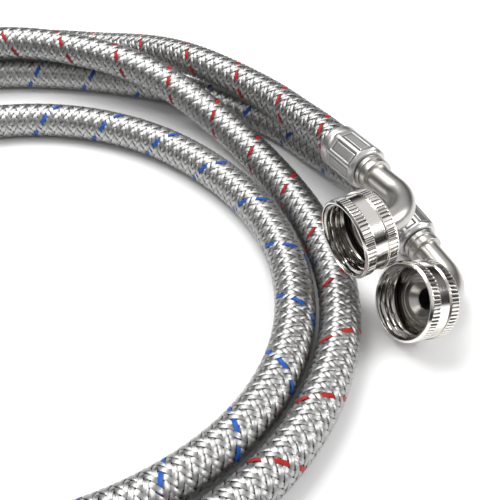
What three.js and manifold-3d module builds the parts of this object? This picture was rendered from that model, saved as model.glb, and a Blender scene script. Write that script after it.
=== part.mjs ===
// A matched pair of stainless-braided supply hoses, hot and cold, lying in loops on a flat surface.
// Millimetres, +Z up. The origin is on that surface, under the middle of the two elbow ends.

import * as THREE from 'three';
import { mergeVertices } from 'three/addons/utils/BufferGeometryUtils.js';
import Module from 'manifold-3d';

const wasm = await Module();
wasm.setup();

const clearance = 0.3;          // between neighbouring pieces

// Hose
const hoseDiameter = 16;
const braidWall = 0.7;
const hoseSides = 8;
const hoseSteps = 40;           // rings along each hose
const plyGap = 0.35;            // between braid and liner

// Barbed stem that the hose is pushed on to, and the collar in front of it
const waterwayDiameter = 7.8;
const stemWall = 0.45;          // between the waterway and the roots of the barbs
const barbHeight = 0.25;
const barbPitch = 5;
const barbCount = 4;
const collarHeight = 1.8;       // above the bent tube
const collarGrooveHeight = 1;   // the same at the bottom of the groove
const collarRing = 2.2;         // length of each of the collar's two rings
const collarLength = 5.6;

// Crimped ferrule
const ferruleLength = 22.5;
const ferruleWall = 0.5;        // at the middle of a crimp flat
const ferruleEndWall = 1.9;
const ferruleLip = 2.6;         // round lip at the hose's end
const crimpFlats = 8;

// Bent tube
const tubeWall = 1.3;
const bendRadius = 14.5;
const bendSteps = 8;
const runBeforeBend = 2.7;      // from the back of the nut, slid right back, to the bend
const runAfterBend = 11.3;      // from the bend's end to the collar
const straightRun = 0.9;        // the same on the straight tailpiece

// Swivel nut
const nutBore = 25.8;           // mean diameter of the 3/4-11.5 hose thread
const nutWall = 2.2;
const nutLength = 14.4;
const nutMouthChamfer = 0.8;
const nutBackWall = 1.5;
const nutTravel = 1.5;           // how far the nut slides back along its neck
const bandLength = 3.9;         // each knurled band
const bandHeight = 0.5;         // above the plain middle band
const edgeRound = 0.5;

// Neck, flange and seat that the nut pulls against the tap
const neckHeight = 0.8;         // above the bent tube
const neckPlay = 0.4;           // radial, under the nut's back wall
const flangePlay = 2.7;         // radial, inside the nut's bore
const flangeThickness = 2;
const seatConeDepth = 2.6;      // of the 45 degree cone at the waterway's mouth
const slipRingPlay = 1.9;       // radial, inside the nut's bore
const slipRingThickness = 0.5;
const washerPlay = 0.6;         // radial, inside the nut's bore
const washerLedge = 0.5;        // from the cone's wide end to the washer's hole
const washerThickness = 2.5;

const turnedSides = 24;         // facets round nuts, ferrules, flanges and rings
const tubeSides = 12;           // facets round stems and bent tubes
const cutBeyond = 1;            // how far cutting solids reach past the faces they cut

// How the two elbow ends lie: the cold nut just above the surface, and the hot nut against its upper side
const coldNutLift = 4.4;        // of the nut's mouth, from the surface to its rim
const nutsApart = 1.2;
const fromColdNutToHot = [-21.6, 13.3, 17.9];
const coldMouthPlace = [0.3, -33.7];

// The way into each elbow end's nut, and the way from its bend to the hose
const hotElbowWays = { inward: [0.879, 0.476, 0.033], towardsHose: [-0.480, 0.872, -0.105] };
const coldElbowWays = { inward: [0.836, 0.424, -0.350], towardsHose: [-0.440, 0.897, 0.056] };

// Where each far ferrule ends, and the way from its fitting to the hose
const hotFarEnd = { exit: [-246.3, 90.8, 22.2], towardsHose: [0.43, 0.89, 0.15] };
const coldFarEnd = { exit: [-207, -70.7, 11.8], towardsHose: [-0.76, 0.64, -0.105] };

// The middle of each hose from its elbow end to its far end, between the straight stretches at the ferrules
const hotRoute = [
  [-32.2, 67.4, 29.9], [-42.2, 83.7, 27.6], [-58, 102.4, 26], [-78.5, 120.4, 25.3],
  [-104.5, 141.6, 20], [-138, 161.3, 11], [-173, 169.3, 8.3], [-209, 165.3, 8.1],
  [-244, 150.8, 8.1], [-273, 126.3, 8.1], [-295, 94.8, 8.1], [-308, 58.8, 8.1],
  [-312, 20.8, 8.1], [-308.5, -17.2, 8.1], [-296, -54.2, 8.1], [-274, -87.2, 8.1],
  [-245, -113.7, 8.1], [-211, -131.7, 8.1], [-175, -141.2, 8.1], [-141, -141.7, 8.1],
  [-107, -133.7, 8.1], [-74, -118.2, 8.1], [-46.7, -94.4, 8.1], [-27.9, -61.8, 8.1],
  [-20.7, -23.1, 8.1], [-28, 18.8, 8.1], [-47, 58.8, 9], [-74, 92.8, 14.5],
  [-105, 115.8, 23], [-141, 132.8, 25.2], [-177, 140.8, 25.2], [-209, 133.3, 25.2],
  [-233, 112.8, 24.7],
];
const coldRoute = [
  [-22.5, 69.8, 9.2], [-39, 90.8, 8.2], [-61, 107.8, 8.1], [-89, 122.3, 8.1],
  [-122, 132.8, 8.1], [-158, 139.3, 8.1], [-194, 138.8, 8.1], [-229, 127.8, 8.1],
  [-259, 105.8, 8.1], [-281, 75.8, 8.1], [-292.5, 40.8, 8.1], [-294, 3.8, 8.1],
  [-286, -32.2, 8.1], [-268, -65.2, 8.1], [-242, -92.2, 8.1], [-210, -111.2, 8.1],
  [-175, -122.2, 8.1], [-143, -123.7, 8.1], [-110, -115.7, 8.1], [-80, -100.2, 8.1],
  [-55, -76.2, 8.1], [-40.5, -45.2, 8.1], [-38.5, -10.2, 8.1], [-48.5, 23.8, 8.1],
  [-70, 54.8, 8.1], [-100, 79.8, 8.1], [-136, 94.3, 8.1], [-171, 96.3, 8.1],
  [-204, 86.3, 8.1], [-230, 64.8, 8.1], [-246, 35.8, 8.1], [-251, 2.8, 8.1],
  [-242.5, -29.2, 8.1], [-227, -52.2, 9.1],
];

// Sizes that follow from the ones above
const hoseRadius = hoseDiameter / 2;
const braidBoreRadius = hoseRadius - braidWall;
const linerRadius = braidBoreRadius - plyGap;
const waterwayRadius = waterwayDiameter / 2;
const barbRootRadius = waterwayRadius + stemWall;
const barbRadius = barbRootRadius + barbHeight;
const linerBoreRadius = (barbRadius + clearance) / Math.cos(Math.PI / hoseSides);
const tubeRadius = waterwayRadius + tubeWall;
const collarRadius = tubeRadius + collarHeight;
const collarGrooveRadius = tubeRadius + collarGrooveHeight;
const neckRadius = tubeRadius + neckHeight;
const nutBoreRadius = nutBore / 2;
const nutRadius = nutBoreRadius + nutWall;
const flangeRadius = nutBoreRadius - flangePlay;
const seatMouthRadius = waterwayRadius + seatConeDepth;
const ferruleBoreRadius = (hoseRadius + clearance) / Math.cos(Math.PI / turnedSides);
const ferruleFlatRadius = ferruleBoreRadius + ferruleWall;
const flangeFace = nutLength - nutBackWall - slipRingThickness - flangeThickness - 2 * clearance;
const bendStart = nutLength + nutTravel + runBeforeBend;
const neckEnd = (nutLength + bendStart) / 2;
const cornerX = bendStart + bendRadius;
const ferruleStart = collarLength + clearance;
const hoseStart = ferruleStart + ferruleEndWall + clearance;
const hoseExit = ferruleStart + ferruleLength;
const stemLength = barbPitch * barbCount;
const straightExitX = bendStart + straightRun + hoseExit;
const coldMouth = new THREE.Vector3(...coldMouthPlace, nutRadius + coldNutLift);
const towardsHotMouth = new THREE.Vector3(...fromColdNutToHot).normalize();
const hotMouth = coldMouth.clone().addScaledVector(towardsHotMouth, 2 * nutRadius + nutsApart);

// A closed geometry as a solid, with its faces turned outwards.
function solid(geometry) {
  geometry.deleteAttribute('normal');
  geometry.deleteAttribute('uv');
  const merged = mergeVertices(geometry, 1e-4);
  const points = merged.attributes.position;
  const corners = [];
  const a = new THREE.Vector3();
  const b = new THREE.Vector3();
  const c = new THREE.Vector3();
  let volume = 0;
  for (let i = 0; i < merged.index.count; i += 3) {
    const [p, q, r] = merged.index.array.subarray(i, i + 3);
    if (p === q || q === r || r === p) continue;
    corners.push(p, q, r);
    a.fromBufferAttribute(points, p);
    b.fromBufferAttribute(points, q);
    c.fromBufferAttribute(points, r);
    volume += a.dot(b.cross(c));
  }
  if (volume < 0) corners.reverse();
  return new wasm.Manifold(new wasm.Mesh({
    numProp: 3,
    vertProperties: new Float32Array(points.array),
    triVerts: new Uint32Array(corners),
  }));
}

function ring(radius, sides) {
  const points = [];
  for (let i = 0; i < sides; i += 1) {
    const angle = 2 * Math.PI * (i + 0.5) / sides;
    points.push(new THREE.Vector2(radius * Math.cos(angle), radius * Math.sin(angle)));
  }
  return points;
}

// A profile of [radius, height] pairs turned about +Y. It starts and ends on the axis, or closes on itself.
function turned(profile, sides = turnedSides) {
  return solid(new THREE.LatheGeometry(profile.map(([r, y]) => new THREE.Vector2(r, y)), sides));
}

function washerRing(innerRadius, outerRadius, low, high, sides = turnedSides) {
  return turned([
    [innerRadius, low],
    [outerRadius, low],
    [outerRadius, high],
    [innerRadius, high],
    [innerRadius, low],
  ], sides);
}

// Turns a solid made along +Y so that it lies along +X.
function alongX(body) {
  return body.rotate([0, 0, -90]);
}

function swept(path, steps, outerRadius, innerRadius, sides) {
  const section = new THREE.Shape(ring(outerRadius, sides));
  if (innerRadius > 0) section.holes.push(new THREE.Path(ring(innerRadius, sides)));
  return solid(new THREE.ExtrudeGeometry(section, { steps, extrudePath: path, bevelEnabled: false }));
}

// Along +X, round a quarter bend, then along +Y. The two straight runs are one step each.
class ElbowPath extends THREE.Curve {
  constructor(startX, endY) {
    super();
    this.startX = startX;
    this.endY = endY;
  }

  getPointAt(share, target = new THREE.Vector3()) {
    const step = share * (bendSteps + 2);
    if (step < 1) return target.set(THREE.MathUtils.lerp(this.startX, bendStart, step), 0, 0);
    const turn = Math.min((step - 1) / bendSteps, 1) * Math.PI / 2;
    const run = Math.max(step - 1 - bendSteps, 0) * (this.endY - bendRadius);
    return target.set(bendStart + bendRadius * Math.sin(turn), bendRadius * (1 - Math.cos(turn)) + run, 0);
  }

  getTangentAt(share, target = new THREE.Vector3()) {
    const step = share * (bendSteps + 2);
    const turn = THREE.MathUtils.clamp((step - 1) / bendSteps, 0, 1) * Math.PI / 2;
    return target.set(Math.cos(turn), Math.sin(turn), 0);
  }
}

// Flange and neck, along +Y from the sealing face, solid through.
function neck(end) {
  const behindFlange = flangeFace + flangeThickness;
  return turned([
    [0, flangeFace],
    [flangeRadius - edgeRound, flangeFace],
    [flangeRadius, flangeFace + edgeRound],
    [flangeRadius, behindFlange],
    [neckRadius, behindFlange],
    [neckRadius, end],
    [0, end],
  ]);
}

// Collar and barbed stem, along +Y from the collar's front, solid through.
function stem(sides) {
  const profile = [
    [0, 0],
    [collarRadius, 0],
    [collarRadius, collarRing],
    [collarGrooveRadius, collarRing],
    [collarGrooveRadius, collarLength - collarRing],
    [collarRadius, collarLength - collarRing],
    [collarRadius, collarLength],
    [tubeRadius, collarLength],
    [tubeRadius, hoseStart - clearance],
  ];
  for (let barb = 0; barb < barbCount; barb += 1) {
    const start = hoseStart - clearance + barb * barbPitch;
    profile.push([barbRadius, start]);
    profile.push([barbRootRadius, start + barbPitch]);
  }
  profile.push([0, hoseStart - clearance + stemLength]);
  return turned(profile, sides);
}

// The 45 degree cone that leads from the flange's face into the waterway.
function seatCone() {
  return turned([
    [0, flangeFace - cutBeyond],
    [seatMouthRadius + cutBeyond, flangeFace - cutBeyond],
    [0, flangeFace + seatMouthRadius],
  ]);
}

function elbow() {
  const path = new ElbowPath(flangeFace + flangeThickness / 2, bendRadius + runAfterBend + collarLength / 2);
  const tube = swept(path, bendSteps + 2, tubeRadius, 0, tubeSides);
  const tail = stem(tubeSides).translate([cornerX, bendRadius + runAfterBend, 0]);
  const throughY = bendRadius + runAfterBend + hoseExit;
  const waterwayPath = new ElbowPath(flangeFace - cutBeyond, throughY);
  const waterway = swept(waterwayPath, bendSteps + 2, waterwayRadius, 0, tubeSides);
  return alongX(neck(neckEnd)).add(tube).add(tail).subtract(waterway).subtract(alongX(seatCone()));
}

function straightTailpiece() {
  const body = neck(bendStart + straightRun + collarLength / 2);
  const tail = stem(tubeSides).translate([0, bendStart + straightRun, 0]);
  const waterway = turned([
    [0, flangeFace - cutBeyond],
    [waterwayRadius, flangeFace - cutBeyond],
    [waterwayRadius, straightExitX],
    [0, straightExitX],
  ], tubeSides);
  return alongX(body.add(tail).subtract(waterway).subtract(seatCone()));
}

function nut() {
  const middle = nutRadius - bandHeight;
  const hole = neckRadius + neckPlay;
  const inside = nutLength - nutBackWall;
  return alongX(turned([
    [nutBoreRadius + nutMouthChamfer, 0],
    [nutRadius - edgeRound, 0],
    [nutRadius, edgeRound],
    [nutRadius, bandLength],
    [middle, bandLength + bandHeight],
    [middle, nutLength - bandLength - bandHeight],
    [nutRadius, nutLength - bandLength],
    [nutRadius, nutLength - edgeRound],
    [nutRadius - edgeRound, nutLength],
    [hole, nutLength],
    [hole, inside],
    [nutBoreRadius, inside],
    [nutBoreRadius, nutMouthChamfer],
    [nutBoreRadius + nutMouthChamfer, 0],
  ]));
}

function slipRing() {
  const low = flangeFace + flangeThickness + clearance;
  const outerRadius = nutBoreRadius - slipRingPlay;
  return alongX(washerRing(neckRadius + clearance, outerRadius, low, low + slipRingThickness));
}

function washer() {
  const high = flangeFace - clearance;
  const outerRadius = nutBoreRadius - washerPlay;
  return alongX(washerRing(seatMouthRadius + washerLedge, outerRadius, high - washerThickness, high));
}

// Octagonal crimped sleeve with a round lip, along +Y. The hose comes out at its high end.
function ferrule() {
  const crimpEnd = hoseExit - ferruleLip;
  const corner = ferruleFlatRadius / Math.cos(Math.PI / crimpFlats);
  const crimp = solid(new THREE.ExtrudeGeometry(new THREE.Shape(ring(corner, crimpFlats)), {
    depth: crimpEnd - ferruleStart,
    bevelEnabled: false,
  })).rotate([-90, 0, 0]).translate([0, ferruleStart, 0]);
  const lipRadius = (corner + ferruleFlatRadius) / 2;
  const lip = turned([
    [0, crimpEnd - edgeRound],
    [lipRadius, crimpEnd - edgeRound],
    [lipRadius, hoseExit - edgeRound],
    [lipRadius - edgeRound, hoseExit],
    [0, hoseExit],
  ]);
  const tubeHole = (tubeRadius + clearance) / Math.cos(Math.PI / turnedSides);
  const bore = turned([
    [0, ferruleStart - cutBeyond],
    [tubeHole, ferruleStart - cutBeyond],
    [tubeHole, ferruleStart + ferruleEndWall],
    [ferruleBoreRadius, ferruleStart + ferruleEndWall],
    [ferruleBoreRadius, hoseExit + cutBeyond],
    [0, hoseExit + cutBeyond],
  ]);
  return crimp.add(lip).subtract(bore);
}

const finishes = {
  braid: { color: 0xb9bcc0, roughness: 0.35, metalness: 0.9 },
  liner: { color: 0x1c1c1e, roughness: 0.8, metalness: 0 },
  ferrule: { color: 0xc4c2bd, roughness: 0.35, metalness: 0.9 },
  elbow: { color: 0xb4afa6, roughness: 0.22, metalness: 1 },
  nut: { color: 0xc6c0b6, roughness: 0.12, metalness: 1 },
  slipRing: { color: 0xb5b1a9, roughness: 0.3, metalness: 1 },
  washer: { color: 0x202022, roughness: 0.7, metalness: 0 },
};

function named(name, body, finish) {
  const { vertProperties, triVerts } = body.getMesh();
  const geometry = new THREE.BufferGeometry();
  geometry.setAttribute('position', new THREE.BufferAttribute(vertProperties, 3));
  geometry.setIndex(new THREE.BufferAttribute(triVerts, 1));
  geometry.computeVertexNormals();
  const mesh = new THREE.Mesh(geometry, new THREE.MeshStandardMaterial(finishes[finish]));
  mesh.name = name;
  return mesh;
}

// A frame at a point, with +X along inward and +Y as near as can be to towardsHose.
function frameAt(point, inward, towardsHose) {
  const x = new THREE.Vector3(...inward).normalize();
  const y = new THREE.Vector3(...towardsHose);
  y.addScaledVector(x, -y.dot(x)).normalize();
  const z = new THREE.Vector3().crossVectors(x, y);
  return new THREE.Matrix4().makeBasis(x, y, z).setPosition(point);
}

function placed(frame, ...meshes) {
  const group = new THREE.Group();
  group.applyMatrix4(frame);
  group.add(...meshes);
  return group;
}

// The middle of a hose, from inside its elbow's ferrule to inside its far ferrule.
function hosePath(nearExit, nearWay, route, farExit, farWay) {
  const inside = hoseExit - hoseStart;
  const along = (exit, way, distance) => exit.clone().addScaledVector(way, distance);
  return new THREE.CatmullRomCurve3([
    along(nearExit, nearWay, -inside),
    along(nearExit, nearWay, 1),
    along(nearExit, nearWay, 12),
    ...route.map((point) => new THREE.Vector3(...point)),
    along(farExit, farWay, 12),
    along(farExit, farWay, 1),
    along(farExit, farWay, -inside),
  ], false, 'centripetal');
}

function supplyLine(side, elbowMouth, elbowWays, route, farEnd) {
  const line = new THREE.Group();

  const nearFrame = frameAt(elbowMouth, elbowWays.inward, elbowWays.towardsHose);
  const stemPlace = new THREE.Matrix4().makeTranslation(cornerX, bendRadius + runAfterBend, 0);
  line.add(placed(
    nearFrame,
    named(`${side}_elbow`, elbow(), 'elbow'),
    named(`${side}_elbow_nut`, nut(), 'nut'),
    named(`${side}_elbow_slip_ring`, slipRing(), 'slipRing'),
    placed(stemPlace, named(`${side}_elbow_ferrule`, ferrule(), 'ferrule')),
  ));

  const farWay = new THREE.Vector3(...farEnd.towardsHose).normalize();
  const farExit = new THREE.Vector3(...farEnd.exit);
  const farMouth = farExit.clone().addScaledVector(farWay, -straightExitX);
  const farFrame = frameAt(farMouth, farEnd.towardsHose, [0, 0, 1]);
  const farFerrule = alongX(ferrule()).translate([bendStart + straightRun, 0, 0]);
  line.add(placed(
    farFrame,
    named(`${side}_end_tailpiece`, straightTailpiece(), 'elbow'),
    named(`${side}_end_nut`, nut(), 'nut'),
    named(`${side}_end_slip_ring`, slipRing(), 'slipRing'),
    named(`${side}_end_washer`, washer(), 'washer'),
    named(`${side}_end_ferrule`, farFerrule, 'ferrule'),
  ));

  const nearExit = new THREE.Vector3(cornerX, bendRadius + runAfterBend + hoseExit, 0);
  nearExit.applyMatrix4(nearFrame);
  const nearWay = new THREE.Vector3().setFromMatrixColumn(nearFrame, 1);
  const path = hosePath(nearExit, nearWay, route, farExit, farWay);
  line.add(named(`${side}_liner`, swept(path, hoseSteps, linerRadius, linerBoreRadius, hoseSides), 'liner'));
  line.add(named(`${side}_braid`, swept(path, hoseSteps, hoseRadius, braidBoreRadius, hoseSides), 'braid'));
  return line;
}

const supplyLines = new THREE.Group();
supplyLines.add(supplyLine('hot', hotMouth, hotElbowWays, hotRoute, hotFarEnd));
supplyLines.add(supplyLine('cold', coldMouth, coldElbowWays, coldRoute, coldFarEnd));

export default supplyLines;
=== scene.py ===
import math

import bpy
import numpy as np
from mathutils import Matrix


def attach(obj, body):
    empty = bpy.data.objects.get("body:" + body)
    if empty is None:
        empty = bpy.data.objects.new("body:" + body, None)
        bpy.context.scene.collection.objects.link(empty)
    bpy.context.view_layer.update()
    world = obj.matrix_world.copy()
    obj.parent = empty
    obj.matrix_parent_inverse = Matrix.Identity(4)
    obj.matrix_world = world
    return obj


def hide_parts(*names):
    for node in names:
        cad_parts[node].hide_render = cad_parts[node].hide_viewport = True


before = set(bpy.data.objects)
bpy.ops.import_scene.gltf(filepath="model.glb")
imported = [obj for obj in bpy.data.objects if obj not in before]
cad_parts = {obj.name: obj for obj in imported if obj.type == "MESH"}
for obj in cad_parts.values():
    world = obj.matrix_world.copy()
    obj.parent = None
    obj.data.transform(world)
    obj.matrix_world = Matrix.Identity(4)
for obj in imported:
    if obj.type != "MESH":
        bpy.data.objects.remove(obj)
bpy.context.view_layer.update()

mm = 0.001
turn = 2 * math.pi

# Camera

camera = {
    "place": (-55.0, -231.2, 237.2),  # mm
    "pitch": 44.1,                    # degrees below the horizon
    "lens": 58.03,                    # mm
    "sensor": 36,                     # mm wide
}


def makeCamera():
    data = bpy.data.cameras.new("camera")
    data.lens = camera["lens"]
    data.sensor_width = camera["sensor"]
    data.clip_start = 0.01
    eye = bpy.data.objects.new("camera", data)
    eye.location = [mm * v for v in camera["place"]]
    eye.rotation_euler = (math.radians(90 - camera["pitch"]), 0, 0)
    bpy.context.scene.collection.objects.link(eye)
    bpy.context.scene.camera = eye


makeCamera()
print("camera made")


# Places and paths

def unit(v):
    v = np.asarray(v, float)
    return v / np.linalg.norm(v)


def placeAt(point, inward, towardsHose):
    # An origin in mm and three axes: the first is inward, the second as near to towardsHose as can be.
    first = unit(inward)
    second = np.asarray(towardsHose, float)
    second = unit(second - first * (second @ first))
    return {"origin": np.asarray(point, float), "axes": np.array([first, second, np.cross(first, second)])}


def moved(place, local):
    # Points in mm along the place's own axes, as points in metres in the room.
    return mm * (place["origin"] + local @ place["axes"])


class Route:
    # A natural cubic spline through points, measured by length, with a side and an up at each length.
    def __init__(self, points, step=0.5):
        points = np.asarray(points, float)
        knots = np.r_[0, np.cumsum(np.linalg.norm(np.diff(points, axis=0), axis=1))]
        bends = self.bendsAt(knots, points)
        at = np.linspace(0, knots[-1], int(knots[-1] / step))
        cell = np.clip(np.searchsorted(knots, at, "right") - 1, 0, len(knots) - 2)
        width = (knots[cell + 1] - knots[cell])[:, None]
        b = (at - knots[cell])[:, None] / width
        a = 1 - b
        bow = ((a ** 3 - a) * bends[cell] + (b ** 3 - b) * bends[cell + 1]) * width ** 2 / 6
        self.points = a * points[cell] + b * points[cell + 1] + bow
        self.lengths = np.r_[0, np.cumsum(np.linalg.norm(np.diff(self.points, axis=0), axis=1))]
        self.length = self.lengths[-1]
        along = np.gradient(self.points, axis=0)
        along /= np.linalg.norm(along, axis=1)[:, None]
        side = np.cross([0, 0, 1], along)
        self.along = along
        self.side = side / np.linalg.norm(side, axis=1)[:, None]
        self.up = np.cross(along, self.side)

    @staticmethod
    def bendsAt(knots, points):
        # Second derivatives of the natural spline: one linear equation for each inner knot.
        gaps = np.diff(knots)
        count = len(knots)
        system = np.eye(count)
        right = np.zeros_like(points)
        inner = np.arange(1, count - 1)
        system[inner, inner - 1] = gaps[:-1]
        system[inner, inner] = 2 * (gaps[:-1] + gaps[1:])
        system[inner, inner + 1] = gaps[1:]
        slopes = np.diff(points, axis=0) / gaps[:, None]
        right[inner] = 6 * np.diff(slopes, axis=0)
        return np.linalg.solve(system, right)

    def at(self, values, length):
        return np.stack([np.interp(length, self.lengths, values[:, i]) for i in range(3)], -1)

    def surface(self, length, angle, radius):
        # The point at that angle round the route and that far from it.
        out = np.cos(angle)[..., None] * self.at(self.side, length)
        out = out + np.sin(angle)[..., None] * self.at(self.up, length)
        return self.at(self.points, length) + radius[..., None] * out


# Sizes that the pieces share, in mm
fitting = {
    "hoseRadius": 8.0,
    "bendStart": 18.6,       # from the nut's mouth
    "bendRadius": 14.5,
    "collarAfterBend": 11.3,
    "collarLength": 5.6,
    "ferruleStart": 5.9,     # from the collar's front, as are the next two
    "hoseStart": 8.1,
    "hoseExit": 28.4,
    "straightRun": 0.9,      # by which a straight end's collar is past where a bend would start
    "flangeFace": 9.8,       # from the nut's mouth
    "straightHose": (1, 12),  # how far outside each ferrule the two points that keep it straight are
}
cornerX = fitting["bendStart"] + fitting["bendRadius"]
collarY = fitting["bendRadius"] + fitting["collarAfterBend"]
insideFerrule = fitting["hoseExit"] - fitting["hoseStart"]
farCollarX = fitting["bendStart"] + fitting["straightRun"]
farExitX = farCollarX + fitting["hoseExit"]

hoses = {
    "hot": {
        "mouth": (-21.546, -20.248, 37.604),
        "inward": (0.879, 0.476, 0.033),
        "towardsHose": (-0.480, 0.872, -0.105),
        "farExit": (-246.3, 90.8, 22.2),
        "farWay": (0.43, 0.89, 0.15),
        "tracer": (0.46, 0.008, 0.004),
        "tracerTurns": 1,
        # mm along the hose, and turns of the weave from its start
        "windings": [
            (0, 0.317), (60, 2.14), (240, 7.66), (840, 27.6), (903, 29.773), (967, 31.911),
            (1030, 33.995), (1093, 36.044), (1157, 38.057), (1220, 40.071), (1270, 41.66),
        ],
        "route": [
            (-32.2, 67.4, 29.9), (-42.2, 83.7, 27.6), (-58, 102.4, 26), (-78.5, 120.4, 25.3),
            (-104.5, 141.6, 20), (-138, 161.3, 11), (-173, 169.3, 8.3), (-209, 165.3, 8.1),
            (-244, 150.8, 8.1), (-273, 126.3, 8.1), (-295, 94.8, 8.1), (-308, 58.8, 8.1),
            (-312, 20.8, 8.1), (-308.5, -17.2, 8.1), (-296, -54.2, 8.1), (-274, -87.2, 8.1),
            (-245, -113.7, 8.1), (-211, -131.7, 8.1), (-175, -141.2, 8.1), (-141, -141.7, 8.1),
            (-107, -133.7, 8.1), (-74, -118.2, 8.1), (-46.7, -94.4, 8.1), (-27.9, -61.8, 8.1),
            (-20.7, -23.1, 8.1), (-28, 18.8, 8.1), (-47, 58.8, 9), (-74, 92.8, 14.5),
            (-105, 115.8, 23), (-141, 132.8, 25.2), (-177, 140.8, 25.2), (-209, 133.3, 25.2),
            (-233, 112.8, 24.7),
        ],
    },
    "cold": {
        "mouth": (0.3, -33.7, 19.5),
        "inward": (0.836, 0.424, -0.350),
        "towardsHose": (-0.440, 0.897, 0.056),
        "farExit": (-207, -70.7, 11.8),
        "farWay": (-0.76, 0.64, -0.105),
        "tracer": (0.003, 0.105, 0.50),
        "tracerTurns": -1,
        "windings": [
            (0, 0.067), (240, 8.1), (820, 27.717), (880, 29.725), (940, 31.683), (1000, 33.607),
            (1060, 35.497), (1120, 37.388), (1180, 39.279), (1272, 42.18),
        ],
        "route": [
            (-22.5, 69.8, 9.2), (-39, 90.8, 8.2), (-61, 107.8, 8.1), (-89, 122.3, 8.1),
            (-122, 132.8, 8.1), (-158, 139.3, 8.1), (-194, 138.8, 8.1), (-229, 127.8, 8.1),
            (-259, 105.8, 8.1), (-281, 75.8, 8.1), (-292.5, 40.8, 8.1), (-294, 3.8, 8.1),
            (-286, -32.2, 8.1), (-268, -65.2, 8.1), (-242, -92.2, 8.1), (-210, -111.2, 8.1),
            (-175, -122.2, 8.1), (-143, -123.7, 8.1), (-110, -115.7, 8.1), (-80, -100.2, 8.1),
            (-55, -76.2, 8.1), (-40.5, -45.2, 8.1), (-38.5, -10.2, 8.1), (-48.5, 23.8, 8.1),
            (-70, 54.8, 8.1), (-100, 79.8, 8.1), (-136, 94.3, 8.1), (-171, 96.3, 8.1),
            (-204, 86.3, 8.1), (-230, 64.8, 8.1), (-246, 35.8, 8.1), (-251, 2.8, 8.1),
            (-242.5, -29.2, 8.1), (-227, -52.2, 9.1),
        ],
    },
}


def settleHose(hose):
    near = placeAt(hose["mouth"], hose["inward"], hose["towardsHose"])
    nearExit = near["origin"] + np.array([cornerX, collarY + fitting["hoseExit"], 0]) @ near["axes"]
    nearWay = near["axes"][1]
    farWay = unit(hose["farWay"])
    farExit = np.array(hose["farExit"], float)
    hose["near"] = near
    hose["nearExit"] = nearExit
    hose["far"] = placeAt(farExit - farExitX * farWay, farWay, (0, 0, 1))
    straight = (-insideFerrule, *fitting["straightHose"])
    starts = [nearExit + nearWay * d for d in straight]
    ends = [farExit + farWay * d for d in reversed(straight)]
    hose["path"] = Route(starts + hose["route"] + ends)


for hose in hoses.values():
    settleHose(hose)


# Meshes

def makePiece(name, points, faces, material, sharpAngle=None, uv=None, shade=None):
    mesh = bpy.data.meshes.new(name)
    mesh.vertices.add(len(points))
    mesh.vertices.foreach_set("co", np.asarray(points, np.float32).ravel())
    mesh.loops.add(faces.size)
    mesh.loops.foreach_set("vertex_index", faces.ravel().astype(np.int32))
    mesh.polygons.add(len(faces))
    mesh.polygons.foreach_set("loop_start", np.arange(len(faces), dtype=np.int32) * 4)
    mesh.update(calc_edges=True)
    mesh.polygons.foreach_set("use_smooth", np.ones(len(faces), bool))
    if sharpAngle:
        mesh.set_sharp_from_angle(angle=math.radians(sharpAngle))
    if uv is not None:
        layer = mesh.uv_layers.new(name="lay")
        layer.data.foreach_set("uv", uv.astype(np.float32).ravel())
    if shade is not None:
        dark = mesh.attributes.new("shade", "FLOAT", "POINT")
        dark.data.foreach_set("value", shade.astype(np.float32).ravel())
    mesh.materials.append(material)
    piece = bpy.data.objects.new(name, mesh)
    bpy.context.scene.collection.objects.link(piece)
    return piece


def gridFaces(rows, columns, wrapRows, wrapColumns):
    # One quad for each cell of a grid of points, wrapped where it closes on itself.
    i = np.arange(rows if wrapRows else rows - 1)[:, None]
    j = np.arange(columns if wrapColumns else columns - 1)[None, :]
    nextI = (i + 1) % rows
    nextJ = (j + 1) % columns
    corners = [i * columns + j, i * columns + nextJ, nextI * columns + nextJ, nextI * columns + j]
    return np.stack(np.broadcast_arrays(*corners), -1).reshape(-1, 4)


def facingOut(points, faces):
    # Signed volume of the closed surface: where it is negative, each face is turned over.
    a, b, c, d = (points[faces[:, k]] for k in range(4))
    volume = np.einsum("ij,ij->", a, np.cross(b, c)) + np.einsum("ij,ij->", a, np.cross(c, d))
    return faces if volume > 0 else faces[:, ::-1]


def rounded(corners, radius, steps=4, gap=1.0):
    # A closed outline with each corner replaced by a curve, and long sides cut up every gap mm.
    corners = np.asarray(corners, float)
    before = np.roll(corners, 1, 0)
    after = np.roll(corners, -1, 0)
    reach = np.full(len(corners), float(radius)) if np.isscalar(radius) else np.asarray(radius, float)
    sideBefore = np.linalg.norm(before - corners, axis=1)
    sideAfter = np.linalg.norm(after - corners, axis=1)
    reach = np.minimum(reach, 0.49 * np.minimum(sideBefore, sideAfter))[:, None]
    first = corners + (before - corners) / sideBefore[:, None] * reach
    last = corners + (after - corners) / sideAfter[:, None] * reach
    t = np.linspace(0, 1, steps + 1)[:, None, None]
    curve = (1 - t) ** 2 * first + 2 * t * (1 - t) * corners + t ** 2 * last
    outline = curve.transpose(1, 0, 2).reshape(-1, 2)
    pieces = []
    for start, end in zip(outline, np.roll(outline, -1, 0)):
        cuts = max(1, int(np.ceil(np.linalg.norm(end - start) / gap)))
        share = np.arange(cuts)[:, None] / cuts
        pieces.append(start + (end - start) * share)
    return np.concatenate(pieces)


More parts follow.
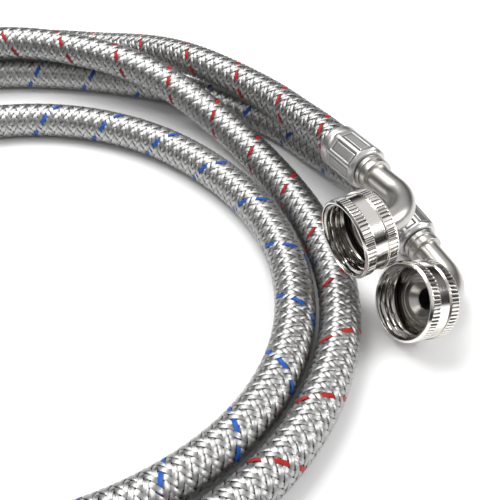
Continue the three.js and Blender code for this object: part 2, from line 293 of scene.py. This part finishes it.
def turnedPiece(name, place, outline, material, columns=96, angles=None, relief=None, sharpAngle=35):
    # A closed outline of (distance, radius) turned about the place's first axis. relief gives how far a
    # point moves outwards and how much shade is painted on it, from its distance, radius and angle.
    angles = np.arange(columns) * turn / columns if angles is None else angles
    distance = np.broadcast_to(outline[:, :1], (len(outline), len(angles)))
    radius = np.broadcast_to(outline[:, 1:], distance.shape)
    theta = np.broadcast_to(angles, distance.shape)
    shade = None
    if relief is not None:
        lift, shade = relief(distance, radius, theta)
        radius = radius + lift
    local = np.stack([distance, radius * np.cos(theta), radius * np.sin(theta)], -1).reshape(-1, 3)
    points = moved(place, local)
    faces = facingOut(points, gridFaces(*distance.shape, True, True))
    return makePiece(name, points, faces, material, sharpAngle, shade=shade)


# Materials

class Socket:
    # A socket in a node tree. Sums, differences and products of sockets and numbers add Math nodes.
    def __init__(self, tree, output=None):
        self.tree = tree
        self.output = output

    def node(self, kind, settings, inputs, output=0):
        made = self.tree.nodes.new(kind)
        for key, value in settings.items():
            if key == "stops":
                for element, (position, colour) in zip(self.stopsOf(made, len(value)), value):
                    element.position = position
                    element.color = (*colour, 1)
            else:
                setattr(made, key, value)
        for key, value in inputs.items():
            if isinstance(value, Socket):
                self.tree.links.new(value.output, made.inputs[key])
            else:
                made.inputs[key].default_value = value
        return Socket(self.tree, made.outputs[output] if made.outputs else None)

    @staticmethod
    def stopsOf(ramp, count):
        while len(ramp.color_ramp.elements) < count:
            ramp.color_ramp.elements.new(0.5)
        return ramp.color_ramp.elements

    def maths(self, operation, first, second=0.0):
        return self.node("ShaderNodeMath", {"operation": operation}, {0: first, 1: second})

    def __add__(self, other):
        return self.maths("ADD", self, other)

    def __sub__(self, other):
        return self.maths("SUBTRACT", self, other)

    def __rsub__(self, other):
        return self.maths("SUBTRACT", other, self)

    def __mul__(self, other):
        return self.maths("MULTIPLY", self, other)

    __radd__ = __add__
    __rmul__ = __mul__


def newMaterial(name):
    material = bpy.data.materials.new(name)
    material.use_nodes = True
    material.node_tree.nodes.clear()
    return material, Socket(material.node_tree)


def closeMaterial(start, inputs):
    shader = start.node("ShaderNodeBsdfPrincipled", {}, inputs)
    start.node("ShaderNodeOutputMaterial", {}, {"Surface": shader})


def mixed(start, share, first, second):
    first, second = (c if isinstance(c, Socket) else (*c, 1) for c in (first, second))
    return start.node("ShaderNodeMix", {"data_type": "RGBA"}, {0: share, 6: first, 7: second}, 2)


wire = {
    "bright": (0.59, 0.59, 0.59),
    "dull": (0.30, 0.295, 0.285),
    "roughness": 0.23,
    "patchRoughness": 0.16,
    "strands": 7,            # wires or yarns side by side in one ribbon
    "strandDepth": 0.00005,
    "relief": 0.35,          # how strongly the wires show
    "patches": (60, 7, 0),   # to a metre along the ribbon, and to its width
}

yarn = {
    "shadow": 0.6,           # of the colour, where the yarn is darkest
    "roughness": 0.3,
    "patchRoughness": 0.2,
    "relief": 0.6,
    "patches": (90, 5, 0),
}


def strandsAndPatches(start, finish):
    # Round strands along each ribbon, as a bump, and noise stretched along them.
    lay = start.node("ShaderNodeUVMap", {"uv_map": "lay"}, {})
    across = start.node("ShaderNodeSeparateXYZ", {}, {0: lay}, 1)
    strand = start.maths("SINE", across * (wire["strands"] * turn))
    stretched = start.node("ShaderNodeVectorMath", {"operation": "MULTIPLY"}, {0: lay, 1: finish["patches"]})
    patchy = start.node("ShaderNodeTexNoise", {}, {"Vector": stretched, "Scale": 1.0, "Detail": 2.0})
    bump = start.node("ShaderNodeBump", {}, {
        "Height": strand, "Strength": finish["relief"], "Distance": wire["strandDepth"],
    })
    return patchy, bump


def wireMaterial():
    # Parallel round wires, patchily brighter and duller along each ribbon.
    material, start = newMaterial("braid wire")
    patchy, bump = strandsAndPatches(start, wire)
    closeMaterial(start, {
        "Base Color": mixed(start, patchy, wire["dull"], wire["bright"]),
        "Metallic": 1.0,
        "Roughness": patchy * wire["patchRoughness"] + wire["roughness"],
        "Normal": bump,
    })
    return material


def tracerMaterial(name, colour):
    # Dyed plastic yarn, woven in place of one ribbon of wires.
    material, start = newMaterial(name)
    patchy, bump = strandsAndPatches(start, yarn)
    dark = [yarn["shadow"] * v for v in colour]
    closeMaterial(start, {
        "Base Color": mixed(start, patchy, dark, colour),
        "Roughness": patchy * yarn["patchRoughness"] + yarn["roughness"],
        "Normal": bump,
    })
    return material


metals = {
    # light and deep are the two colours of the clouds, and the third is painted shade, put in threads, slots
    # and grooves; grain is the scratches' share of the bump, and marks is its depth in metres
    "nut": {
        "name": "polished nickel", "light": (0.96, 0.935, 0.895), "deep": (0.87, 0.845, 0.81),
        "paintedShade": (0.42, 0.40, 0.37), "roughness": 0.13, "grain": 0.1, "marks": 0.00005,
    },
    "elbow": {
        "name": "satin nickel", "light": (0.58, 0.565, 0.535), "deep": (0.49, 0.475, 0.45),
        "paintedShade": (0.1, 0.1, 0.1), "roughness": 0.31, "grain": 0.4, "marks": 0.00008,
    },
    "ferrule": {
        "name": "crimped steel", "light": (0.66, 0.655, 0.645), "deep": (0.56, 0.555, 0.545),
        "paintedShade": (0.06, 0.06, 0.06), "roughness": 0.34, "grain": 0.4, "marks": 0.00008,
    },
    "ring": {
        "name": "plain steel", "light": (0.45, 0.44, 0.43), "deep": (0.36, 0.35, 0.34),
        "paintedShade": (0.1, 0.1, 0.1), "roughness": 0.30, "grain": 0.4, "marks": 0.00008,
    },
}


def plated(metal):
    # Cloudy polish and fine scratches, in colour, roughness and a faint bump. The shade attribute says where
    # shade is painted into the colour.
    material, start = newMaterial(metal["name"])
    place = start.node("ShaderNodeTexCoord", {}, {}, 3)
    clouds = start.node("ShaderNodeTexNoise", {}, {"Vector": place, "Scale": 160.0, "Detail": 4.0})
    fine = start.node("ShaderNodeTexNoise", {}, {"Vector": place, "Scale": 2600.0, "Detail": 3.0})
    shade = start.node("ShaderNodeAttribute", {"attribute_name": "shade"}, {}, 2)
    bump = start.node("ShaderNodeBump", {}, {
        "Height": clouds + fine * metal["grain"], "Strength": 0.25, "Distance": metal["marks"],
    })
    polish = mixed(start, clouds, metal["deep"], metal["light"])
    closeMaterial(start, {
        "Base Color": mixed(start, shade, polish, metal["paintedShade"]),
        "Metallic": 1.0,
        "Roughness": clouds * 0.10 + fine * 0.05 + (metal["roughness"] - 0.07),
        "Normal": bump,
    })
    return material


def rubberMaterial(name, colour, roughness):
    # Matt black with a fine grain, paler in its high spots.
    material, start = newMaterial(name)
    place = start.node("ShaderNodeTexCoord", {}, {}, 3)
    fine = start.node("ShaderNodeTexNoise", {}, {"Vector": place, "Scale": 1500.0, "Detail": 4.0})
    bump = start.node("ShaderNodeBump", {}, {"Height": fine, "Strength": 0.3, "Distance": 0.0001})
    pale = [v * 1.8 for v in colour]
    closeMaterial(start, {
        "Base Color": mixed(start, fine, colour, pale),
        "Roughness": fine * 0.15 + roughness,
        "Normal": bump,
    })
    return material


materials = {
    "wire": wireMaterial(),
    "rubber": rubberMaterial("black rubber", (0.006, 0.006, 0.0065), 0.6),
    "washer": rubberMaterial("washer rubber", (0.014, 0.014, 0.016), 0.45),
}
for key, metal in metals.items():
    materials[key] = plated(metal)
for side, hose in hoses.items():
    materials[side] = tracerMaterial(side + " tracer yarn", hose["tracer"])


# Hose: a rubber tube under a braid of flat ribbons of wire

braid = {
    "lead": 30.0,          # mm of hose to about one turn of a ribbon
    "ribbons": 12,         # each way round
    "width": 1.72,         # mm
    "middle": 7.52,        # mm, from the hose's middle to the middle of the weave
    "wave": 0.27,          # mm in and out of it
    "crown": 0.17,         # mm, the ribbon's own roundness
    "rowsPerCrossing": 2,
    "flatness": 1.6,       # of the wave's tops
    "corners": (-1, -0.5, 0.5, 1),   # places across the ribbon, from edge to edge
}


def ribbonSurfaces(hose, turns, indices):
    # Each ribbon winds round the path about once in each lead, over two crossing ribbons and under two. Its
    # height is a flattened cosine of its place among the crossing ribbons, plus a crown across it.
    path = hose["path"]
    windingPlaces, windings = np.transpose(hose["windings"])
    ribbons = braid["ribbons"]
    pitch = braid["lead"] / (2 * ribbons)
    slant = math.atan(turn * fitting["hoseRadius"] / braid["lead"])
    margin = 0.5 * braid["width"]
    rows = int((path.length - 2 * margin) / pitch * braid["rowsPerCrossing"])
    centre = np.linspace(margin, path.length - margin, rows)[None, :, None]
    index = np.asarray(indices, float)[:, None, None]
    share = np.array(braid["corners"])[None, None, :]
    offset = share * braid["width"] / 2
    length = centre + offset * math.sin(slant)
    angle = turn * (index / ribbons + turns * np.interp(centre, windingPlaces, windings))
    angle = angle - turns * offset * math.cos(slant) / fitting["hoseRadius"]
    crossing = ribbons * (angle / turn + turns * np.interp(length, windingPlaces, windings))
    phase = crossing - index + 0.5 if turns > 0 else crossing - index - 2.5
    wave = np.cos(turn * phase / 4)
    wave = np.tanh(braid["flatness"] * wave) / math.tanh(braid["flatness"])
    crown = braid["crown"] * (1 - share ** 2)
    radius = braid["middle"] + braid["wave"] * wave + crown
    top = path.surface(length, angle, radius)
    return top, length, share


def makeRibbons(name, hose, turns, indices, material):
    # A closed strip for each ribbon: its four sides as a grid, and a face at each end.
    top, length, share = ribbonSurfaces(hose, turns, indices)
    count, rows, columns, _ = top.shape
    each = gridFaces(rows, columns, False, True)
    ends = np.array([[3, 2, 1, 0], [0, 1, 2, 3]]) + np.array([[0], [(rows - 1) * columns]])
    each = np.concatenate([each, ends])
    points = mm * top.reshape(-1, 3)
    each = facingOut(points[:rows * columns], each)
    faces = (each[None] + (np.arange(count) * rows * columns)[:, None, None]).reshape(-1, 4)
    along = np.broadcast_to(length / 1000, top.shape[:3]).reshape(-1)
    across = np.broadcast_to((share + 1) / 2 + np.arange(count)[:, None, None], top.shape[:3]).reshape(-1)
    uv = np.stack([along, across], -1)[faces.ravel()]
    return makePiece(name, points, faces, material, 60, uv)


tube = {"radius": 7.1, "bore": 5.0, "sides": 32, "step": 3.0}


def makeTube(name, path):
    # The rubber tube: its outside, its bore, and the two end faces between them, as one closed grid.
    lengths = np.linspace(0, path.length, int(path.length / tube["step"]))
    walls = [(lengths, tube["radius"]), (lengths[::-1], tube["bore"])]
    angle = np.arange(tube["sides"])[None, :] * turn / tube["sides"]
    length = np.concatenate([w for w, _ in walls])[:, None] + 0 * angle
    radius = np.concatenate([np.full(len(w), r) for w, r in walls])[:, None] + 0 * angle
    points = mm * path.surface(length, angle + 0 * length, radius).reshape(-1, 3)
    faces = facingOut(points, gridFaces(*length.shape, True, True))
    return makePiece(name, points, faces, materials["rubber"], 50)


def makeHose(side, hose):
    path = hose["path"]
    turns = hose["tracerTurns"]
    rubberTube = makeTube(side + "_rubber_tube", path)
    everyRibbon = range(braid["ribbons"])
    tracer = makeRibbons(side + "_tracer", hose, turns, [0], materials[side])
    same = makeRibbons(side + "_wires_with_tracer", hose, turns, everyRibbon[1:], materials["wire"])
    other = makeRibbons(side + "_wires_crossing", hose, -turns, everyRibbon, materials["wire"])
    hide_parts(side + "_liner")
    for piece in (tracer, same, other):
        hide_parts(side + "_braid")
        side + "_braid"
    for piece in (rubberTube, tracer, same, other):
        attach(piece, "lines")
    return rubberTube, [tracer, same, other]


cordPieces = {}
for side, hose in hoses.items():
    cordPieces[side] = makeHose(side, hose)
print("hoses made", {side: round(hose["path"].length) for side, hose in hoses.items()})


# Fittings

nut = {
    "radius": 15.1,
    "length": 14.4,
    "bands": ((0.8, 4.3), (9.9, 13.5)),   # the two knurled ones, from the mouth
    "plain": 14.5,             # radius of the polished middle
    "mouthTaper": 0.85,        # by which the radius falls towards the mouth
    "backTaper": 0.7,
    "groove": 0.3,             # depth of the one beside the back band
    "ribs": 64,
    "ribDepth": 0.5,
    "ribShare": 0.85,          # of the rib's pitch; the slot takes the rest
    "ribPoints": (0, 0.06, 0.3, 0.7, 0.94, 1, 1.12),   # shares of a rib's width; the last is in the slot
    "ribRun": 0.15,            # mm from a band's edge to the slot's full depth
    "threadRoot": 13.8,
    "threadDepth": 1.05,
    "threadPitch": 2.209,
    "threadStart": 0.5,
    "threadEnd": 8.3,
    "threadFade": 0.9,         # mm over which the ridge dies away at each end
    "ledge": 0.4,              # by which the bore narrows behind the thread
    "hole": 6.4,
    "backWall": 1.5,
    "pointGap": 0.22,
}


def smoothStep(x, low, high):
    share = np.clip((x - low) / (high - low), 0, 1)
    return share * share * (3 - 2 * share)


def between(x, low, high, run):
    # One inside low and high and nought outside, with a smooth run at each end.
    return smoothStep(x, low, low + run) * (1 - smoothStep(x, high - run, high))


def turnedOutline(corners, gap):
    # Corners are (distance, radius, how far the rounding reaches along each side).
    corners = np.array(corners)
    return rounded(corners[:, :2], corners[:, 2], 3, gap)


def nutOutline():
    radius, plain, root = nut["radius"], nut["plain"], nut["threadRoot"]
    (lowA, highA), (lowB, highB) = nut["bands"]
    inside = nut["length"] - nut["backWall"]
    return turnedOutline([
        (0.0, root + 0.1, 0.15),
        (0.0, radius - nut["mouthTaper"], 0.3),
        (lowA - 0.3, radius - 0.3, 0.2),
        (lowA, radius, 0.15),
        (highA, radius, 0.12),
        (highA + 0.25, plain, 0.2),
        (lowB - 0.25, plain, 0.1),
        (lowB - 0.2, plain - nut["groove"], 0.03),
        (lowB, plain - nut["groove"], 0.03),
        (lowB, radius, 0.12),
        (highB, radius, 0.3),
        (nut["length"], radius - nut["backTaper"], 0.5),
        (nut["length"], nut["hole"], 0.3),
        (inside, nut["hole"], 0.1),
        (inside, root - nut["ledge"], 0.3),
        (nut["threadEnd"] + 0.6, root - nut["ledge"], 0.1),
        (nut["threadEnd"], root, 0.1),
        (nut["threadStart"], root, 0.2),
    ], nut["pointGap"])


def nutRelief(distance, radius, theta):
    # Slots sink into the two bands, nearly square between the ribs, and a flat-topped ridge stands along a
    # helix in the bore. Shade is painted into the slots and the bore, less of it on the ridge.
    onBand = sum(between(distance, low, high, nut["ribRun"]) for low, high in nut["bands"])
    onBand = onBand * (radius > nut["radius"] - 0.2)
    rib = ((theta * nut["ribs"] / turn + 0.001) % 1) / nut["ribShare"]
    slot = onBand * (1 - np.sqrt(np.clip(1 - (2 * rib - 1) ** 4, 0, 1)))
    helix = (distance / nut["threadPitch"] - theta / turn) % 1
    ridge = np.clip(2.0 * (1 - np.abs(2 * helix - 1)) - 0.75, 0, 1)
    ridge = ridge * between(distance, nut["threadStart"], nut["threadEnd"], nut["threadFade"])
    ridge = ridge * (np.abs(radius - nut["threadRoot"]) < 0.05)
    boreEnd = nut["length"] - nut["backWall"] + 0.3
    inBore = (radius < nut["threadRoot"] + 0.1) & (distance > 0.4) & (distance < boreEnd)
    # painted shade: full in the slots, and in the bore less on the ridge's crest
    shade = np.maximum(slot, np.where(inBore, 1 - 0.6 * ridge, 0))
    return -nut["ribDepth"] * slot - nut["threadDepth"] * ridge, shade


def makeNut(name, place):
    ribAngles = nut["ribShare"] * np.array(nut["ribPoints"])
    angles = ((np.arange(nut["ribs"])[:, None] + ribAngles) * turn / nut["ribs"]).ravel()
    outline = nutOutline()
    return turnedPiece(
        name, place, outline, materials["nut"], angles=angles, relief=nutRelief, sharpAngle=30)


ferrule = {
    "flats": 8,
    "flatRadius": 8.85,
    "cornerRadius": 9.35,
    "pointsAcross": (0.15, 0.21, 0.24, 0.27, 0.30, 0.36, 0.44),   # shares of a flat, from its middle
    "lip": 7.9,
    "round": 9.0,          # radius before the flats are pressed
    "rim": 9.15,
    "bore": 8.3,
    "endWall": 1.9,
    "tubeHole": 5.5,
    "panelHalf": 2.45,     # half the width of the pressed panel on each flat
    "panel": (8.3, 21.6),  # from the collar's front, as is the crimp's end
    "panelDepth": 0.05,
    "groove": 0.30,        # depth of the one round each panel
    "grooveInset": 0.30,
    "grooveWidth": 0.22,
    "crimpEnd": 25.0,
}


def ferruleOutline():
    start, end = fitting["ferruleStart"], fitting["hoseExit"]
    crimpEnd, wall = ferrule["crimpEnd"], ferrule["endWall"]
    return turnedOutline([
        (start, ferrule["tubeHole"], 0.2),
        (start, ferrule["lip"], 0.5),
        (start + 1.6, ferrule["round"], 0.5),
        (crimpEnd - 1.6, ferrule["round"], 0.5),
        (crimpEnd, ferrule["rim"], 0.5),
        (end - 0.6, ferrule["rim"], 0.5),
        (end, ferrule["bore"] + 0.35, 0.2),
        (end, ferrule["bore"], 0.15),
        (start + wall, ferrule["bore"], 0.2),
        (start + wall, ferrule["tubeHole"], 0.2),
    ], 0.3)


def ferruleRelief(distance, radius, theta):
    # The outside is brought to an octagon with rounded corners along the crimp, less a shallow panel on each
    # flat and a groove just inside the panel's edge, into which shade is painted.
    wedge = turn / ferrule["flats"]
    outer = radius > ferrule["bore"] + 0.2
    fromFlat = (theta + wedge / 2) % wedge - wedge / 2
    octagon = np.minimum(ferrule["flatRadius"] / np.cos(fromFlat), ferrule["cornerRadius"])
    crimpStart = fitting["ferruleStart"] + 0.9
    crimped = smoothStep(distance, crimpStart, crimpStart + 1.0)
    crimped = crimped * (1 - smoothStep(distance, ferrule["crimpEnd"] - 1.8, ferrule["crimpEnd"] - 0.2))
    offset = np.abs(octagon * np.sin(fromFlat))
    low, high = ferrule["panel"]
    edge = np.minimum(ferrule["panelHalf"] - offset, np.minimum(distance - low, high - distance))
    pressed = smoothStep(edge, 0.0, 0.35)
    line = np.exp(-((edge - ferrule["grooveInset"]) / ferrule["grooveWidth"]) ** 2)
    sunk = ferrule["groove"] * line * smoothStep(distance, low - 0.5, low + 0.5)
    sunk = sunk + ferrule["panelDepth"] * pressed
    lift = (octagon - radius - sunk) * crimped
    # the second value is painted shade along the groove
    return np.where(outer, lift, 0), np.where(outer, 0.9 * line * crimped, 0)


def makeFerrule(name, place):
    # Round at its lip and its rim, with flats, panels and grooves between them.
    half = np.array(ferrule["pointsAcross"])
    steps = np.r_[-0.5, -half[::-1], 0, half]
    angles = ((np.arange(ferrule["flats"])[:, None] + steps) * turn / ferrule["flats"]).ravel()
    outline = ferruleOutline()
    return turnedPiece(
        name, place, outline, materials["ferrule"], angles=angles, relief=ferruleRelief, sharpAngle=50)


stem = {
    "waterway": 3.9,
    "tubeRadius": 5.2,
    "neck": 6.0,
    "neckEnd": 16.5,
    "flange": 10.2,
    "flangeThickness": 2.0,
    "coneMouth": 6.5,
    "collar": 7.0,
    "collarGroove": 6.25,
    "collarRing": 2.2,     # width of each of the collar's two rings
    "faceGroove": 0.25,    # depth of the ring-shaped groove in the seat
    "barb": 4.6,
    "barbRoot": 4.35,
    "barbPitch": 5.0,
    "barbs": 4,
    "sides": 72,
}


def tailpieceOutline(collarAt):
    # (distance along the tailpiece, radius): flange, neck, tube, collar and barbs, then back up the bore.
    face = fitting["flangeFace"]
    back = face + stem["flangeThickness"]
    ring = stem["collarRing"]
    sunk = face + stem["faceGroove"]
    collarEnd = collarAt + fitting["collarLength"]
    barbsAt = collarAt + fitting["hoseStart"] - 0.3
    tip = barbsAt + stem["barbPitch"] * stem["barbs"]
    corners = [
        (face, stem["coneMouth"]), (face, stem["coneMouth"] + 0.9), (sunk, stem["coneMouth"] + 1.0),
        (sunk, stem["flange"] - 1.3), (face, stem["flange"] - 1.2), (face, stem["flange"]),
        (back, stem["flange"]), (back, stem["neck"]), (stem["neckEnd"], stem["neck"]),
        (stem["neckEnd"] + 0.6, stem["tubeRadius"]), (collarAt, stem["tubeRadius"]),
        (collarAt, stem["collar"] - 0.2), (collarAt + ring, stem["collar"]),
        (collarAt + ring, stem["collarGroove"]), (collarEnd - ring, stem["collarGroove"]),
        (collarEnd - ring, stem["collar"]), (collarEnd, stem["collar"]), (collarEnd, stem["tubeRadius"]),
        (barbsAt, stem["tubeRadius"]),
    ]
    for barb in range(stem["barbs"]):
        at = barbsAt + barb * stem["barbPitch"]
        corners += [(at, stem["barb"]), (at + stem["barbPitch"], stem["barbRoot"])]
    coneEnd = face + stem["coneMouth"] - stem["waterway"]
    corners += [(tip + 0.01, stem["waterway"]), (coneEnd, stem["waterway"])]
    return rounded(corners, 0.22, 3, 0.8)


def makeTailpiece(name, place, bent):
    # The outline is carried along the waterway's middle: straight, or straight, round a quarter bend and on.
    start, radius = fitting["bendStart"], fitting["bendRadius"]
    arc = radius * math.pi / 2
    collarAt = start + arc + fitting["collarAfterBend"] if bent else farCollarX
    outline = tailpieceOutline(collarAt)
    angle = np.arange(stem["sides"]) * turn / stem["sides"]
    distance = outline[:, 0]
    bend = np.clip((distance - start) / radius, 0, math.pi / 2) if bent else 0 * distance
    before = np.minimum(distance, start) if bent else distance
    after = np.maximum(distance - start - arc, 0) if bent else 0 * distance
    middleX = before + radius * np.sin(bend)
    middleY = radius * (1 - np.cos(bend)) + after
    across = outline[:, 1:] * np.cos(angle)
    local = np.stack([
        middleX[:, None] - across * np.sin(bend)[:, None],
        middleY[:, None] + across * np.cos(bend)[:, None],
        outline[:, 1:] * np.sin(angle),
    ], -1).reshape(-1, 3)
    points = moved(place, local)
    faces = facingOut(points, gridFaces(len(outline), len(angle), True, True))
    return makePiece(name, points, faces, materials["elbow"], 35)


def makeRing(name, place, size, low, material):
    # A flat ring with its rims rounded, standing low mm from the mouth.
    bore, radius = size["bore"], size["radius"]
    high = low + size["thickness"]
    outline = rounded([(low, bore), (low, radius), (high, radius), (high, bore)], size["rounding"], 3)
    return turnedPiece(name, place, outline, material, size["sides"])


def stemPlace(place, x, y):
    # The same frame turned so that its first axis runs along the stem, from the collar's front.
    origin = place["origin"] + np.array([x, y, 0]) @ place["axes"]
    axes = place["axes"] if y == 0 else np.array([place["axes"][1], -place["axes"][0], place["axes"][2]])
    return {"origin": origin, "axes": axes}


slipRing = {"bore": 6.3, "radius": 11.0, "thickness": 0.5, "rounding": 0.15, "sides": 72, "gap": 0.3}
seal = {"bore": 7.0, "radius": 12.3, "thickness": 2.5, "rounding": 0.15, "sides": 72, "gap": 0.3}


def makeEnd(side, end, place):
    # Each CAD node of this end, with its piece, its material slot and the body that carries it.
    bent = end == "elbow"
    key = side + "_" + end
    tailNode = key if bent else key + "_tailpiece"
    crimpPlace = stemPlace(place, cornerX, collarY) if bent else stemPlace(place, farCollarX, 0)
    ringAt = fitting["flangeFace"] + stem["flangeThickness"] + slipRing["gap"]
    made = {
        tailNode: (makeTailpiece(tailNode + "_turned", place, bent), "tailpiece", "lines"),
        key + "_ferrule": (makeFerrule(key + "_crimp", crimpPlace), "ferrule", "lines"),
        key + "_nut": (makeNut(key + "_knurled_nut", place), "nut", key + "_nut"),
        key + "_slip_ring": (
            makeRing(key + "_ring", place, slipRing, ringAt, materials["ring"]), "slip_ring", key + "_ring"),
    }
    if not bent:
        sealAt = fitting["flangeFace"] - seal["gap"] - seal["thickness"]
        washer = makeRing(key + "_seal", place, seal, sealAt, materials["washer"])
        made[key + "_washer"] = (washer, "washer", "lines")
    for node, (piece, slot, body) in made.items():
        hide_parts(node)
        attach(piece, body)
    return [piece for piece, _, _ in made.values()]


everyFourMm = slice(0, None, 8)
for side, hose in hoses.items():
    makeEnd(side, "elbow", hose["near"])
    farPieces = makeEnd(side, "end", hose["far"])
    rubberTube, ribbons = cordPieces[side]
    ribbons + farPieces
print("fittings made")


# Floor and light

studio = {
    "floor": 0.90,
    "floorHalf": 3.0,      # metres, half its side
    "sky": 0.46,
    "skyAt": [(0.0, 0.9), (0.03, 0.02), (0.28, 0.05), (0.42, 0.45), (0.62, 1.5)],   # height and brightness
    "lamps": {
        "key": {"place": (-0.35, 0.25, 0.75), "target": (-0.08, 0, 0), "size": (0.7, 0.5), "power": 6.5},
        "right": {"place": (0.6, -0.1, 0.45), "target": (-0.05, 0, 0), "size": (0.4, 0.3), "power": 3.0},
    },
}


def makeFloor():
    material, start = newMaterial("pale floor")
    closeMaterial(start, {"Base Color": (studio["floor"],) * 3 + (1,), "Roughness": 0.9})
    half = studio["floorHalf"]
    corners = np.array([[-half, -half, 0], [half, -half, 0], [half, half, 0], [-half, half, 0]])
    floor = makePiece("floor", corners, np.array([[0, 1, 2, 3]]), material)


def makeSky():
    # Pale overhead, darker towards the horizon, so that polished metal has something to reflect.
    world = bpy.data.worlds.new("studio")
    bpy.context.scene.world = world
    world.use_nodes = True
    world.node_tree.nodes.clear()
    start = Socket(world.node_tree)
    place = start.node("ShaderNodeTexCoord", {}, {}, 0)
    height = start.node("ShaderNodeSeparateXYZ", {}, {0: place}, 2)
    stops = [(at, (brightness,) * 3) for at, brightness in studio["skyAt"]]
    ramp = start.node("ShaderNodeValToRGB", {"stops": stops}, {"Fac": height})
    light = start.node("ShaderNodeBackground", {}, {"Color": ramp, "Strength": studio["sky"]})
    start.node("ShaderNodeOutputWorld", {}, {"Surface": light})


def makeLamp(name, lamp):
    # A soft rectangle of light, turned from its place to its target.
    data = bpy.data.lights.new(name, "AREA")
    data.shape = "RECTANGLE"
    data.size, data.size_y = lamp["size"]
    data.energy = lamp["power"]
    panel = bpy.data.objects.new(name, data)
    panel.location = lamp["place"]
    way = unit(np.subtract(lamp["target"], lamp["place"]))
    panel.rotation_euler = (math.acos(-way[2]), 0, math.atan2(-way[0], way[1]))
    bpy.context.scene.collection.objects.link(panel)


makeFloor()
makeSky()
for name, lamp in studio["lamps"].items():
    makeLamp(name, lamp)
bpy.context.scene.view_settings.view_transform = "Standard"
